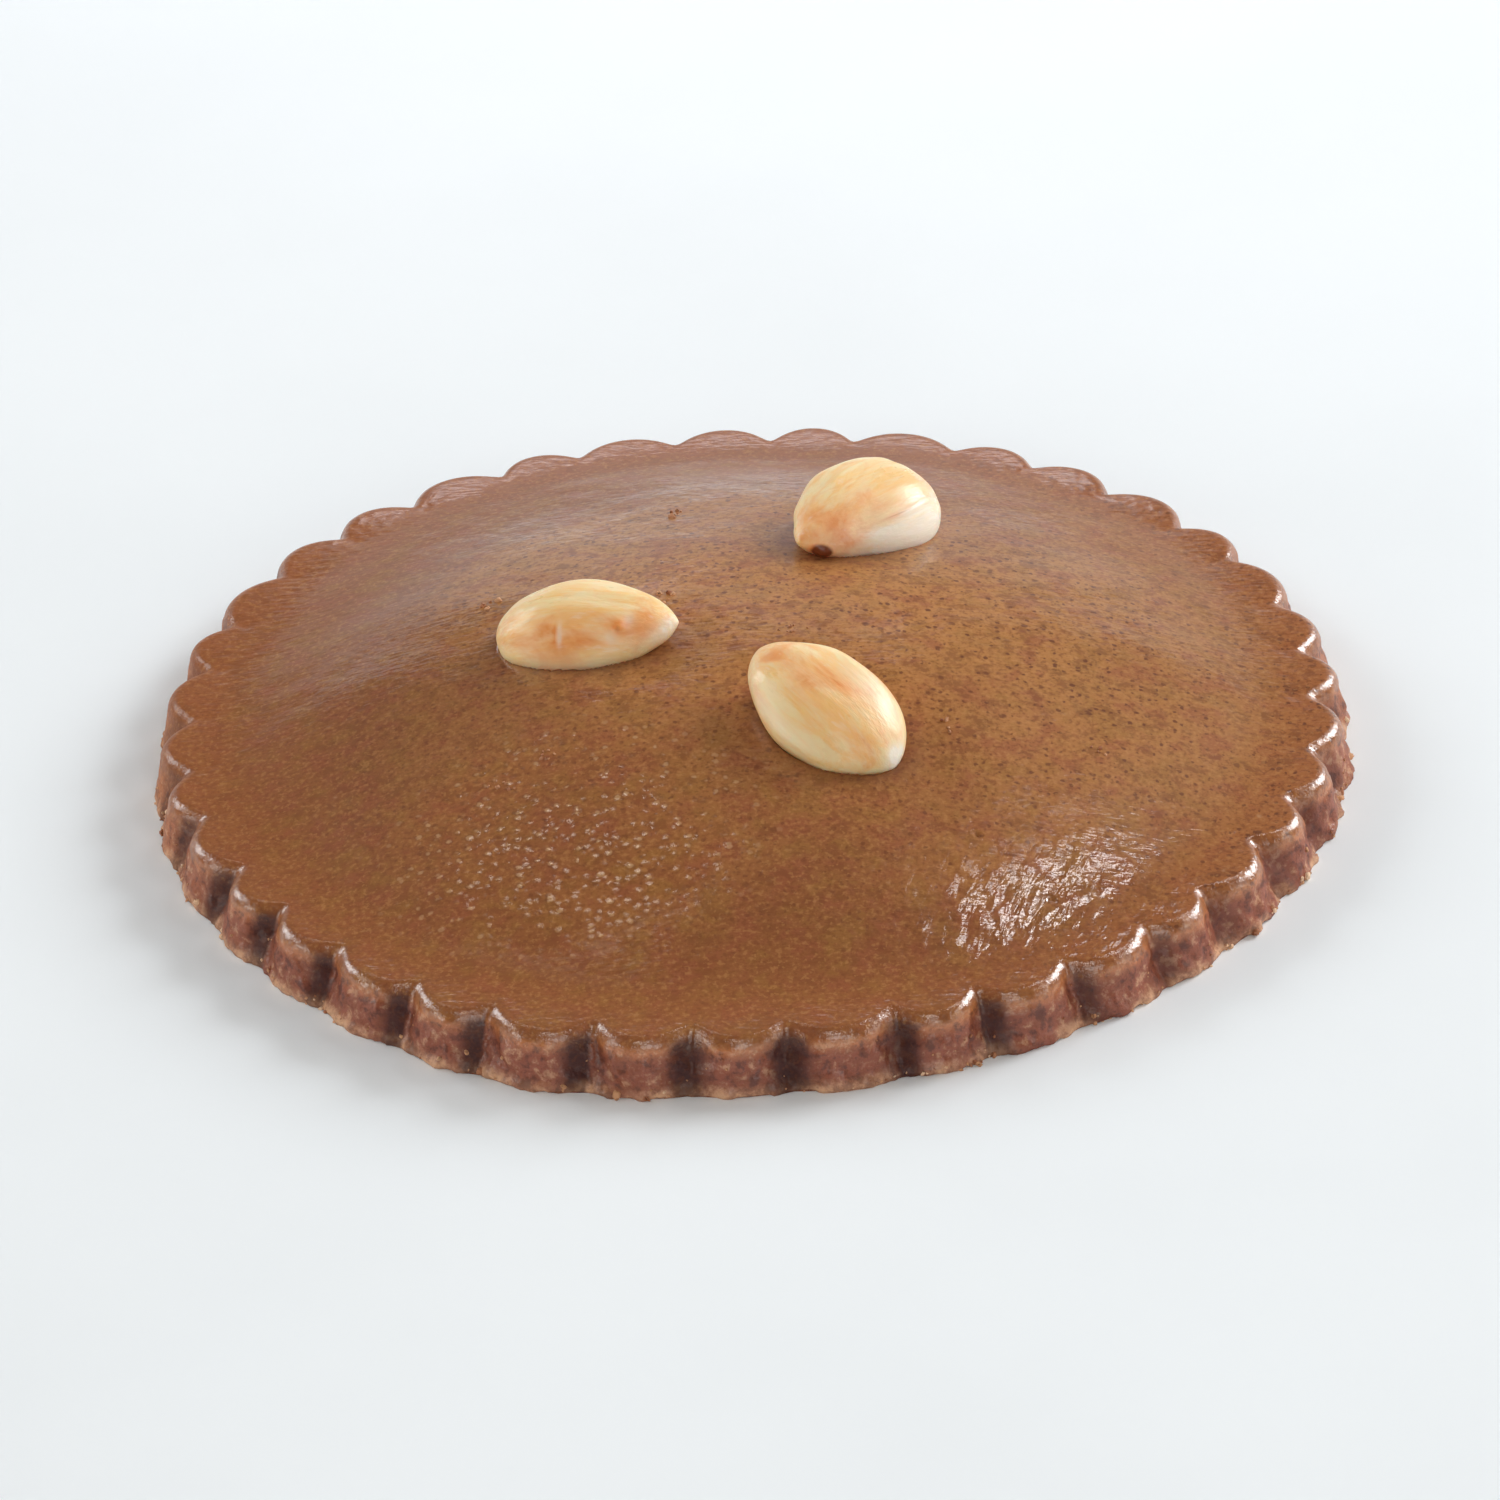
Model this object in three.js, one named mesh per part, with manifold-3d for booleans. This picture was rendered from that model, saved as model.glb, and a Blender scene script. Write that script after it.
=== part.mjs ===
// A filled spice cookie: a round dough case with a fluted wall, a lid that swells into a low dome
// over the filling, and three whole blanched almonds pressed into the lid.
// Millimetres, +Z up, origin on the underside at the middle of the cookie.

import * as THREE from 'three';
import { mergeVertices } from 'three/addons/utils/BufferGeometryUtils.js';
import Module from 'manifold-3d';

const { clamp, degToRad, euclideanModulo, lerp, smoothstep } = THREE.MathUtils;

// The case and its fluted wall
const lobeRadius = 57.5; // to the crown of a lobe at the lid, where the outline is round
const footFlare = 0.75; // how far the wall leans out to the underside
const wallHeight = 5.9;
const edgeRound = 1.4; // between the wall and the lid
const footRound = 0.4; // between the underside and the wall
const fluteCount = 37;
const firstNotch = degToRad( - 0.25 ); // from +X
const notchDepthTop = 2.3; // at the lid's edge
const notchDepthFoot = 0.5; // at the underside
const lobeArc = 0.85; // half a lobe's width as a share of the radius of its round outline
const notchBlunt = 0.12; // how far the floor of a notch is rounded, in half flutes
const notchFade = 5; // strip of the lid over which the flutes die out
const notchSlip = 0.06; // most that a notch strays along the edge, in flutes
const notchUneven = 0.12; // most that a notch strays in depth, of its depth
const stepsPerFlute = 6;

// Where the outline is out of round: the middle from +X, the spread to either side, and the swell outwards
const bulges = [
	{ middle: 140, spread: 32, swell: 1.3 },
	{ middle: 246, spread: 16, swell: 1.5 },
	{ middle: 322, spread: 40, swell: - 0.95 },
	{ middle: 70, spread: 22, swell: 0.35 }
];
const bulgeStart = 36; // radius from which the case strays from round

// The lid: a parabolic dome that runs out softly into a narrow level brim
const domeRise = 10; // above the brim
const domeRadius = 50;
const domeBlend = 1.2; // the higher, the softer the dome meets the brim
const lidRings = 12;

// The almonds: middle on the lid, heading of the tip from +X, lift of the middle off the lid,
// pitch of the tip and roll of the left side, both upwards, and the bluntness of the two ends.
const almondShapes = [
	{
		name: 'almond_left', x: - 15.6, y: 2.2, heading: 346, lift: 0.9, pitch: 3, roll: 15,
		length: 18.5, width: 11.2, thickness: 7.5, bluntEnd: 0.53, tipEnd: 0.73, bend: 0.04
	},
	{
		name: 'almond_back', x: 10.7, y: 23.5, heading: 232, lift: 1.4, pitch: - 3, roll: - 11,
		length: 18.7, width: 12.8, thickness: 8.5, bluntEnd: 0.46, tipEnd: 0.79, bend: - 0.17
	},
	{
		name: 'almond_front', x: 6.8, y: - 15, heading: 132, lift: 1.3, pitch: 11, roll: - 4,
		length: 19, width: 12.4, thickness: 7.9, bluntEnd: 0.61, tipEnd: 0.65, bend: 0
	}
];
const almondStations = 14; // along the length
const almondSides = 20;
const socketGap = 0.3; // between an almond and the dough around it

const weldDistance = 0.001; // vertices nearer than this are one

const dough = new THREE.MeshStandardMaterial( { color: 0x8e572e, roughness: 0.45, metalness: 0 } );
const nut = new THREE.MeshStandardMaterial( { color: 0xe6b77a, roughness: 0.5, metalness: 0 } );

const wasm = await Module();
wasm.setup();

// Height of the lid at a distance from the middle: the higher of dome and brim, with a soft change between.
function lidHeight( radius ) {

	const dome = domeRise * ( 1 - ( radius / domeRadius ) ** 2 );
	return wallHeight + ( dome + Math.hypot( dome, domeBlend ) ) / 2;

}

// Upward normal of the lid at a point, from its slope along the radius.
function lidNormal( x, y ) {

	const step = 0.05;
	const radius = Math.hypot( x, y );
	const slope = ( lidHeight( radius + step ) - lidHeight( radius - step ) ) / ( 2 * step );
	return new THREE.Vector3( - slope * x / radius, - slope * y / radius, 1 ).normalize();

}

// Outline of half the cookie, from the underside's middle to the dome's top, through the lobes.
function caseProfile() {

	const lidRadius = lobeRadius - edgeRound;
	const footRadius = lobeRadius + footFlare;
	const roundMiddle = edgeRound * ( 1 - Math.SQRT1_2 );
	const points = [
		new THREE.Vector2( 0, 0 ),
		new THREE.Vector2( footRadius - footRound, 0 ),
		new THREE.Vector2( footRadius, footRound ),
		new THREE.Vector2( lobeRadius, wallHeight - edgeRound ),
		new THREE.Vector2( lobeRadius - roundMiddle, wallHeight - roundMiddle )
	];
	for ( let ring = 0; ring <= lidRings; ring ++ ) {

		const radius = lidRadius * ( 1 - ring / lidRings );
		points.push( new THREE.Vector2( radius, lidHeight( radius ) ) );

	}

	return points;

}

// A notch's stray, between -1 and 1, spread evenly over the notches by the golden angle.
function stray( notch, turn ) {

	const goldenAngle = Math.PI * ( 3 - Math.sqrt( 5 ) );
	return Math.sin( ( notch % fluteCount ) * goldenAngle * turn + turn );

}

// Outline of a lobe, a circle's arc that is blunted where it meets the next, from 0 in a notch to 1 on the crown.
function lobeOutline( fromNotch ) {

	const arc = ( way ) => Math.sqrt( 1 - ( lobeArc * ( 1 - Math.hypot( way, notchBlunt ) ) ) ** 2 );
	return ( arc( fromNotch ) - arc( 0 ) ) / ( arc( 1 ) - arc( 0 ) );

}

// Swell of the outline at an angle, a bell for each bulge.
function outOfRound( angle ) {

	let swell = 0;
	for ( const bulge of bulges ) {

		const apart = euclideanModulo( angle - degToRad( bulge.middle ) + Math.PI, 2 * Math.PI ) - Math.PI;
		swell += bulge.swell * Math.exp( - ( ( apart / degToRad( bulge.spread ) ) ** 2 ) );

	}

	return swell;

}

// Moves one point of the plain round case to the uneven, fluted wall, less and less towards the middle.
function flutePoint( point ) {

	const radius = Math.hypot( point.x, point.y );
	const inward = lobeRadius - edgeRound - radius;
	const hold = 1 - smoothstep( inward, 0, notchFade );
	const angle = Math.atan2( point.y, point.x );
	const turn = euclideanModulo( ( angle - firstNotch ) / ( 2 * Math.PI ), 1 ) * fluteCount;
	const notch = Math.floor( turn );
	const share = turn - notch;

	const slip = lerp( stray( notch, 1 ), stray( notch + 1, 1 ), share ) * notchSlip;
	const uneven = lerp( stray( notch, 2 ), stray( notch + 1, 2 ), share ) * notchUneven;
	const depth = lerp( notchDepthFoot, notchDepthTop, Math.sqrt( clamp( point.z / wallHeight, 0, 1 ) ) );
	const lobe = lobeOutline( 2 * Math.min( share, 1 - share ) );

	const bulge = smoothstep( radius, bulgeStart, lobeRadius ) * outOfRound( angle );
	const flutedRadius = radius + bulge - hold * depth * ( 1 + uneven ) * ( 1 - lobe );
	const flutedAngle = angle + hold * slip * 2 * Math.PI / fluteCount;
	point.x = flutedRadius * Math.cos( flutedAngle );
	point.y = flutedRadius * Math.sin( flutedAngle );

}

// The round case turned from its outline, with its wall then drawn in at the notches.
function caseGeometry() {

	const segments = fluteCount * stepsPerFlute;
	const geometry = new THREE.LatheGeometry( caseProfile(), segments, firstNotch + Math.PI / 2 );
	geometry.rotateX( Math.PI / 2 );
	const positions = geometry.attributes.position;
	const point = new THREE.Vector3();
	for ( let i = 0; i < positions.count; i ++ ) {

		point.fromBufferAttribute( positions, i );
		flutePoint( point );
		positions.setXYZ( i, point.x, point.y, point.z );

	}

	return geometry;

}

// An almond along +Y, tip foremost, with its flat sides up and down, grown by a gap all round.
function almondGeometry( shape, gap = 0 ) {

	const { bluntEnd, tipEnd } = shape;
	const widest = ( bluntEnd - tipEnd ) / ( bluntEnd + tipEnd );
	const outline = [];
	for ( let station = 0; station <= almondStations; station ++ ) {

		const along = - Math.cos( Math.PI * station / almondStations );
		const blunt = Math.max( ( 1 + along ) / ( 1 + widest ), 0 ) ** bluntEnd;
		const tip = Math.max( ( 1 - along ) / ( 1 - widest ), 0 ) ** tipEnd;
		outline.push( new THREE.Vector2( blunt * tip, along ) );

	}

	const geometry = new THREE.LatheGeometry( outline, almondSides );
	geometry.scale( shape.width / 2 + gap, shape.length / 2 + gap, shape.thickness / 2 + gap );
	const positions = geometry.attributes.position;
	for ( let i = 0; i < positions.count; i ++ ) {

		const along = positions.getY( i ) / ( shape.length / 2 + gap );
		positions.setX( i, positions.getX( i ) + shape.bend * ( 1 - along * along ) );

	}

	return geometry;

}

// Sets an almond down on the lid, along its heading and square to the surface, then tips and rolls it.
function placeAlmond( mesh, shape ) {

	const up = lidNormal( shape.x, shape.y );
	const heading = degToRad( shape.heading );
	const along = new THREE.Vector3( Math.cos( heading ), Math.sin( heading ), 0 );
	along.projectOnPlane( up ).normalize();
	const right = along.clone().cross( up );
	mesh.position.set( shape.x, shape.y, lidHeight( Math.hypot( shape.x, shape.y ) ) );
	mesh.position.addScaledVector( up, shape.lift );
	mesh.quaternion.setFromRotationMatrix( new THREE.Matrix4().makeBasis( right, along, up ) );
	mesh.rotateX( degToRad( shape.pitch ) );
	mesh.rotateY( degToRad( shape.roll ) );
	mesh.updateMatrix();

}

// A closed solid from a geometry: shared vertices merged, triangles that shrink away at a pole dropped.
function solidFrom( geometry ) {

	const bare = geometry.clone();
	bare.deleteAttribute( 'normal' );
	bare.deleteAttribute( 'uv' );
	const merged = mergeVertices( bare, weldDistance );
	const corners = merged.index.array;
	const kept = [];
	for ( let i = 0; i < corners.length; i += 3 ) {

		const [ a, b, c ] = corners.slice( i, i + 3 );
		if ( a !== b && b !== c && c !== a ) kept.push( a, b, c );

	}

	return new wasm.Manifold( new wasm.Mesh( {
		numProp: 3,
		vertProperties: merged.attributes.position.array,
		triVerts: new Uint32Array( kept )
	} ) );

}

// A geometry for a mesh from a solid.
function geometryFrom( solid ) {

	const { vertProperties, triVerts } = solid.getMesh();
	const geometry = new THREE.BufferGeometry();
	geometry.setAttribute( 'position', new THREE.BufferAttribute( vertProperties, 3 ) );
	geometry.setIndex( new THREE.BufferAttribute( triVerts, 1 ) );
	geometry.computeVertexNormals();
	return geometry;

}

const cookie = new THREE.Group();
let caseSolid = solidFrom( caseGeometry() );

for ( const shape of almondShapes ) {

	const almond = new THREE.Mesh( geometryFrom( solidFrom( almondGeometry( shape ) ) ), nut );
	almond.name = shape.name;
	placeAlmond( almond, shape );
	cookie.add( almond );

	const socket = almondGeometry( shape, socketGap ).applyMatrix4( almond.matrix );
	caseSolid = caseSolid.subtract( solidFrom( socket ) );

}

const caseMesh = new THREE.Mesh( geometryFrom( caseSolid ), dough );
caseMesh.name = 'cookie';
cookie.add( caseMesh );

export default cookie;
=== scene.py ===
import bpy
import numpy as np
from mathutils import Matrix, Vector


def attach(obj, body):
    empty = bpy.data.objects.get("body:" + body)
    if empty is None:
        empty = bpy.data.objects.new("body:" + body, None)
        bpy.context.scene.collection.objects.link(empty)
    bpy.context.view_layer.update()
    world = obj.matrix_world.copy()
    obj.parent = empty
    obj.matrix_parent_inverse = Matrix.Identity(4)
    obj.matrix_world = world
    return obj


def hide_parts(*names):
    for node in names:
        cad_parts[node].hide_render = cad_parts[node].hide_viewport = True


# A filled spice cookie: a glazed lid that swells into a low dome over a fluted wall, with three blanched
# almonds pressed into it. Shapes are worked out in millimetres and put into the meshes in metres.
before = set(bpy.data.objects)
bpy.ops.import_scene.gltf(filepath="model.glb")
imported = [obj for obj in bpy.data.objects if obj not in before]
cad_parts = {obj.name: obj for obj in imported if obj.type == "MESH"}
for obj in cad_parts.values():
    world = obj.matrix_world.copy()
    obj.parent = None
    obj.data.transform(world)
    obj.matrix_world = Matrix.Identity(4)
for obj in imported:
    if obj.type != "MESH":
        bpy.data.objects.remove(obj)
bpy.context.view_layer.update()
mm = 0.001


# Shared helpers for shapes

# Eased step: 0 below low, 1 above high, a cubic between them.
def easeStep(value, low, high):
    share = np.clip((value - low) / (high - low), 0, 1)
    return share * share * (3 - 2 * share)


# Bell: 1 at the middle, falling off as a Gaussian of the given width.
def bell(distance, width):
    return np.exp(-(distance / width) ** 2)


# Bell round one heading in degrees from +X, with its width in radians.
def bellTowards(angle, heading, width):
    return bell(np.angle(np.exp(1j * (angle - np.radians(heading)))), width)


# Bell over a ring round the middle of the cookie, with its radius and its width.
def ringBell(radius, middle, width):
    return bell(radius - middle, width)


# Bell over an oval patch of the lid, with its middle and its reach along X and Y.
def patchBell(flat, place, reach):
    return bell(np.linalg.norm((flat - np.array(place)) / np.array(reach), axis=1), 1)


# Roughness with a size: a sum of plane waves of about one wavelength, with seeded headings and phases,
# scaled so that its spread (standard deviation) is 1.
def ripple(places, wavelength, seed, waves=48, vary=0.35):
    rng = np.random.default_rng(seed)
    heading = rng.normal(size=(waves, places.shape[1]))
    heading /= np.linalg.norm(heading, axis=1, keepdims=True)
    pitch = wavelength * np.exp(rng.uniform(-vary, vary, (waves, 1)))
    phase = rng.uniform(0, 2 * np.pi, waves)
    return np.cos(places @ (2 * np.pi * heading / pitch).T + phase).sum(1) * np.sqrt(2 / waves)


# A smooth mesh object from points in mm, quads and triangles, with an attribute for each named array.
def makePiece(name, points, quads, triangles, attributes, material):
    mesh = bpy.data.meshes.new(name)
    mesh.vertices.add(len(points))
    mesh.vertices.foreach_set("co", (points * mm).ravel())
    corners = np.concatenate([quads.ravel(), triangles.ravel()])
    quadStarts = np.arange(len(quads)) * 4
    triangleStarts = quads.size + np.arange(len(triangles)) * 3
    starts = np.concatenate([quadStarts, triangleStarts])
    mesh.loops.add(len(corners))
    mesh.loops.foreach_set("vertex_index", corners)
    mesh.polygons.add(len(starts))
    mesh.polygons.foreach_set("loop_start", starts)
    mesh.polygons.foreach_set("use_smooth", np.ones(len(starts), bool))
    mesh.update(calc_edges=True)
    for label, values in attributes.items():
        kind = "FLOAT_VECTOR" if values.ndim == 2 else "FLOAT"
        field = "vector" if values.ndim == 2 else "value"
        made = mesh.attributes.new(label, kind, "POINT")
        made.data.foreach_set(field, values.astype(np.float32).ravel())
    mesh.materials.append(material)
    piece = bpy.data.objects.new(name, mesh)
    bpy.context.scene.collection.objects.link(piece)
    return piece


# A piece's points in metres, one row each.
def pointsOf(piece):
    points = np.empty(len(piece.data.vertices) * 3)
    piece.data.vertices.foreach_get("co", points)
    return points.reshape(-1, 3)


def setPoints(piece, points):
    piece.data.vertices.foreach_set("co", points.ravel())
    piece.data.update()


# Moves a piece's points along their own normals by a relief in mm.
def pushOut(piece, relief):
    normals = np.empty(len(piece.data.vertices) * 3)
    piece.data.vertex_normals.foreach_get("vector", normals)
    setPoints(piece, pointsOf(piece) + normals.reshape(-1, 3) * relief[:, None] * mm)


# Faces of a grid of rows that close on themselves, from an array of point numbers, one row each.
def ringFaces(rows):
    nextPlace = np.roll(rows, -1, axis=1)
    faces = np.stack([rows[:-1], rows[1:], nextPlace[1:], nextPlace[:-1]], axis=-1)
    return faces.reshape(-1, 4)


# Shared helpers for materials

# Linear colour from screen values between 0 and 255.
def tone(screen):
    share = np.array(screen) / 255
    linear = np.where(share <= 0.04045, share / 12.92, ((share + 0.055) / 1.055) ** 2.4)
    return (*[float(value) for value in linear], 1.0)


# A material that is built up node by node; sizes are given in mm.
class NodeSheet:
    def __init__(self, name):
        self.material = bpy.data.materials.new(name)
        self.material.use_nodes = True
        self.tree = self.material.node_tree
        self.tree.nodes.clear()
        self.place = self.add("ShaderNodeTexCoord").outputs["Object"]

    # One node with its settings, and its sockets set to a value or linked to another node's output.
    def add(self, kind, sockets=None, **settings):
        node = self.tree.nodes.new(kind)
        for key, value in settings.items():
            setattr(node, key, value)
        for key, value in (sockets or {}).items():
            if isinstance(value, bpy.types.NodeSocket):
                self.tree.links.new(value, node.inputs[key])
            else:
                node.inputs[key].default_value = value
        return node

    def math(self, operation, first, second, clamp=False):
        sockets = {0: first, 1: second}
        return self.add("ShaderNodeMath", sockets, operation=operation, use_clamp=clamp).outputs[0]

    def times(self, first, second):
        return self.math("MULTIPLY", first, second)

    # What is left of 1.
    def rest(self, value):
        return self.math("SUBTRACT", 1.0, value)

    def vector(self, operation, sockets):
        return self.add("ShaderNodeVectorMath", sockets, operation=operation).outputs[0]

    # Noise between 0 and 1 with grains of a size.
    def noise(self, size, detail=2.0, rough=0.5, warp=0.0, place=None):
        sockets = {"Vector": place or self.place, "Scale": 1 / (size * mm), "Detail": detail,
                   "Roughness": rough, "Distortion": warp}
        return self.add("ShaderNodeTexNoise", sockets).outputs[0]

    # Eased share from 0 to 1 (or between two other values) as a value goes from low to high.
    def ease(self, value, low, high, start=0.0, end=1.0):
        sockets = {"Value": value, "From Min": low, "From Max": high, "To Min": start, "To Max": end}
        return self.add("ShaderNodeMapRange", sockets, interpolation_type="SMOOTHSTEP").outputs[0]

    # A share of a second colour over a first one.
    def mix(self, share, first, second):
        return self.add("ShaderNodeMix", {0: share, 6: first, 7: second}, data_type="RGBA").outputs[2]

    # The same with a second colour that is given by its screen values.
    def tint(self, share, first, screen):
        return self.mix(share, first, tone(screen))

    def attribute(self, label, output="Fac"):
        return self.add("ShaderNodeAttribute", attribute_name=label).outputs[output]

    # Cells of a spacing: the distance to the cell's middle, in spacings, and a chance of its own.
    def cells(self, spacing, place):
        cell = self.add("ShaderNodeTexVoronoi", {"Vector": place, "Scale": 1 / (spacing * mm)})
        chance = self.add("ShaderNodeSeparateColor", {0: cell.outputs["Color"]})
        return cell.outputs["Distance"], chance.outputs[0]

    # Round spots up to a radius, with a soft edge, in a share of the cells of a spacing.
    def spots(self, spacing, radius, share, place, edge=(-0.04, 0.14)):
        distance, chance = self.cells(spacing, place)
        size = self.ease(chance, 1 - share, 1.0, 0.0, radius / spacing)
        return self.ease(self.math("SUBTRACT", size, distance), *edge)

    # Low round pimples of uneven height, one in each cell of a spacing.
    def pimples(self, spacing, place, reach=0.75):
        distance, chance = self.cells(spacing, place)
        return self.times(self.ease(distance, 0.0, reach, 1.0, 0.0), chance)

    # The object's place drawn out along a heading in degrees from +X, for streaks.
    def stretched(self, factor, heading):
        sockets = {"Vector": self.place, "Rotation": (0, 0, np.radians(heading)), "Scale": (factor, 1, 1)}
        return self.add("ShaderNodeMapping", sockets, vector_type="TEXTURE").outputs[0]

    # The object's place moved about by noise, so that spots lose their round shape.
    def shaken(self, size, amount):
        wobble = self.add("ShaderNodeTexNoise", {"Vector": self.place, "Scale": 1 / (size * mm)}).outputs[1]
        centred = self.vector("SUBTRACT", {0: wobble, 1: (0.5, 0.5, 0.5)})
        scaled = self.vector("SCALE", {0: centred, "Scale": amount * mm})
        return self.vector("ADD", {0: self.place, 1: scaled})

    # A bump of a depth from a height between 0 and 1.
    def bump(self, height, depth, strength=1.0, under=None):
        sockets = {"Height": height, "Distance": depth * mm, "Strength": strength}
        if under is not None:
            sockets["Normal"] = under
        return self.add("ShaderNodeBump", sockets).outputs[0]

    def finish(self, **sockets):
        named = {key.replace("_", " "): value for key, value in sockets.items()}
        shader = self.add("ShaderNodeBsdfPrincipled", named)
        self.add("ShaderNodeOutputMaterial", {"Surface": shader.outputs[0]})
        return self.material


# The dough: golden to brown, the brown partly painted shade, speckled with spice, with a coat of egg glaze

doughLook = dict(
    golden=(178, 121, 66), brown=(146, 90, 50), ruddy=(149, 83, 54), olive=(151, 105, 50),
    amber=(160, 93, 49), wallTop=(216, 133, 69), wallLow=(147, 81, 59), darkCrumbAndNotchShade=(58, 29, 29),
    footPale=(218, 170, 132), speck=(112, 60, 30), darkSpeck=(102, 54, 30), lightGrain=(198, 142, 84),
    fleck=(228, 186, 138), contactShade=(96, 54, 34),
    roughness=0.55, wallRougher=0.15, gloss=0.2, ior=1.46, coat=0.85, coatRoughness=0.14, coatIor=2.0)

# The dough's pattern: grains of noise in mm, kinds of spots by spacing, largest radius and share of the
# cells, depths of bumps in mm, and the most that each colour covers
doughGrain = dict(
    shakeSize=0.6, shake=0.5, patchSize=24, patchCover=0.2, hueSize=3.2, ruddyCover=0.55, oliveCover=0.5,
    crumbSize=1.4, darkCrumbCover=0.62, paleCrumbCover=0.55, notchShadeCover=0.9,
    blotchSize=1.7, blotchCover=0.5, fineSize=0.5, fineCover=0.5, lightCover=0.3,
    smallSpecks=(0.75, 0.28, 0.85), smallCover=0.85, middlingSpecks=(1.4, 0.42, 0.6), middlingCover=0.7,
    flecks=(4.0, 0.3, 0.35), fleckCover=0.5, nutContactShadeCover=0.45,
    beadSpacing=0.95, beadGlintCover=0.36, beadDepth=0.06, brushSize=0.45, brushStretch=3.5, brushDepth=0.04,
    streakSize=1.25, streakStretch=2.3, streakDepth=0.28, pitSize=0.9, pitDepth=0.14)


def doughMaterial():
    look = doughLook
    grain = doughGrain
    sheet = NodeSheet("glazedDough")
    wall = sheet.attribute("wall")
    offWall = sheet.rest(wall)
    speckle = sheet.attribute("speckle")
    loose = sheet.shaken(grain["shakeSize"], grain["shake"])

    # Lid: golden to brown, the brown partly real browning and partly painted shade, with ruddy and olive
    # patches and amber lobes
    patchy = sheet.noise(grain["patchSize"], 3)
    patchy = sheet.ease(patchy, 0.3, 0.7, -grain["patchCover"], grain["patchCover"])
    broad = sheet.math("ADD", sheet.attribute("brownAndShade"), patchy, True)
    hue = sheet.noise(grain["hueSize"], 3, 0.6)
    colour = sheet.tint(broad, tone(look["golden"]), look["brown"])
    colour = sheet.tint(sheet.ease(hue, 0.5, 0.66, 0.0, grain["ruddyCover"]), colour, look["ruddy"])
    colour = sheet.tint(sheet.ease(hue, 0.34, 0.5, grain["oliveCover"], 0.0), colour, look["olive"])
    colour = sheet.tint(sheet.attribute("rim"), colour, look["amber"])

    # Wall: amber above, browner below, mottled, with painted shade in the notches and a pale crumbly foot
    crumb = sheet.noise(grain["crumbSize"], 4, 0.65)
    crust = sheet.tint(wall, tone(look["wallTop"]), look["wallLow"])
    crust = sheet.tint(sheet.ease(crumb, 0.5, 0.66, 0.0, grain["darkCrumbCover"]), crust, look["darkCrumbAndNotchShade"])
    crust = sheet.tint(sheet.ease(crumb, 0.32, 0.48, grain["paleCrumbCover"], 0.0), crust, look["footPale"])
    colour = sheet.mix(sheet.ease(wall, 0.0, 0.6), colour, crust)
    colour = sheet.tint(sheet.times(sheet.attribute("notch"), grain["notchShadeCover"]), colour, look["darkCrumbAndNotchShade"])
    paleFoot = sheet.times(sheet.attribute("foot"), sheet.ease(crumb, 0.42, 0.6, 1.0, 0.4))
    colour = sheet.tint(paleFoot, colour, look["footPale"])

    # Spice: soft blotches and a fine grain, dark and light, with dark specks of two sizes
    fine = sheet.noise(grain["fineSize"], 2, 0.6)
    blotch = sheet.noise(grain["blotchSize"], 3, 0.65, 0.3)
    blotch = sheet.ease(blotch, 0.5, 0.64, 0.0, grain["blotchCover"])
    blotch = sheet.math("MAXIMUM", blotch, sheet.ease(fine, 0.52, 0.66, 0.0, grain["fineCover"]))
    blotch = sheet.times(blotch, sheet.ease(speckle, 0.0, 1.0, 0.6, 1.0))
    colour = sheet.tint(blotch, colour, look["speck"])
    small = sheet.times(sheet.spots(*grain["smallSpecks"], loose), grain["smallCover"])
    middling = sheet.times(sheet.spots(*grain["middlingSpecks"], loose), grain["middlingCover"])
    dark = sheet.times(sheet.math("MAXIMUM", small, middling), speckle)
    colour = sheet.tint(dark, colour, look["darkSpeck"])
    light = sheet.times(sheet.ease(fine, 0.34, 0.46, grain["lightCover"], 0.0), offWall)
    colour = sheet.tint(light, colour, look["lightGrain"])

    # Pale flecks and the pale tops of the pimples, partly a painted highlight in the glint patch, then
    # painted contact shade in the dough round the almonds
    beads = sheet.pimples(grain["beadSpacing"], loose)
    beaded = sheet.attribute("beaded")
    beadTopsAndGlint = sheet.times(sheet.ease(beads, 0.4, 0.75, 0.0, grain["beadGlintCover"]), beaded)
    flecks = sheet.times(sheet.spots(*grain["flecks"], loose), sheet.times(offWall, grain["fleckCover"]))
    colour = sheet.tint(sheet.math("MAXIMUM", flecks, beadTopsAndGlint), colour, look["fleck"])
    # Painted contact shade in the dough round the almonds
    nutContactShade = sheet.times(sheet.attribute("nutContactShade"), grain["nutContactShadeCover"])
    colour = sheet.tint(nutContactShade, colour, look["contactShade"])

    # Relief: pimples, brush marks of the glaze, streaks in the wrinkled patch and pits in the wall
    plain = sheet.rest(beaded)
    brush = sheet.noise(grain["brushSize"], 2, 0.5, 0.2, sheet.stretched(grain["brushStretch"], 0))
    drawnOut = sheet.stretched(grain["streakStretch"], doughRelief["wrinkleHeading"])
    streaks = sheet.noise(grain["streakSize"], 2, 0.5, 0.3, drawnOut)
    pits = sheet.noise(grain["pitSize"], 4, 0.65)
    bumps = sheet.bump(beads, grain["beadDepth"], sheet.attribute("bubbly"))
    bumps = sheet.bump(brush, grain["brushDepth"], plain, bumps)
    bumps = sheet.bump(streaks, grain["streakDepth"], sheet.attribute("wrinkled"), bumps)
    bumps = sheet.bump(pits, grain["pitDepth"], sheet.attribute("crumbly"), bumps)

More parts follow.
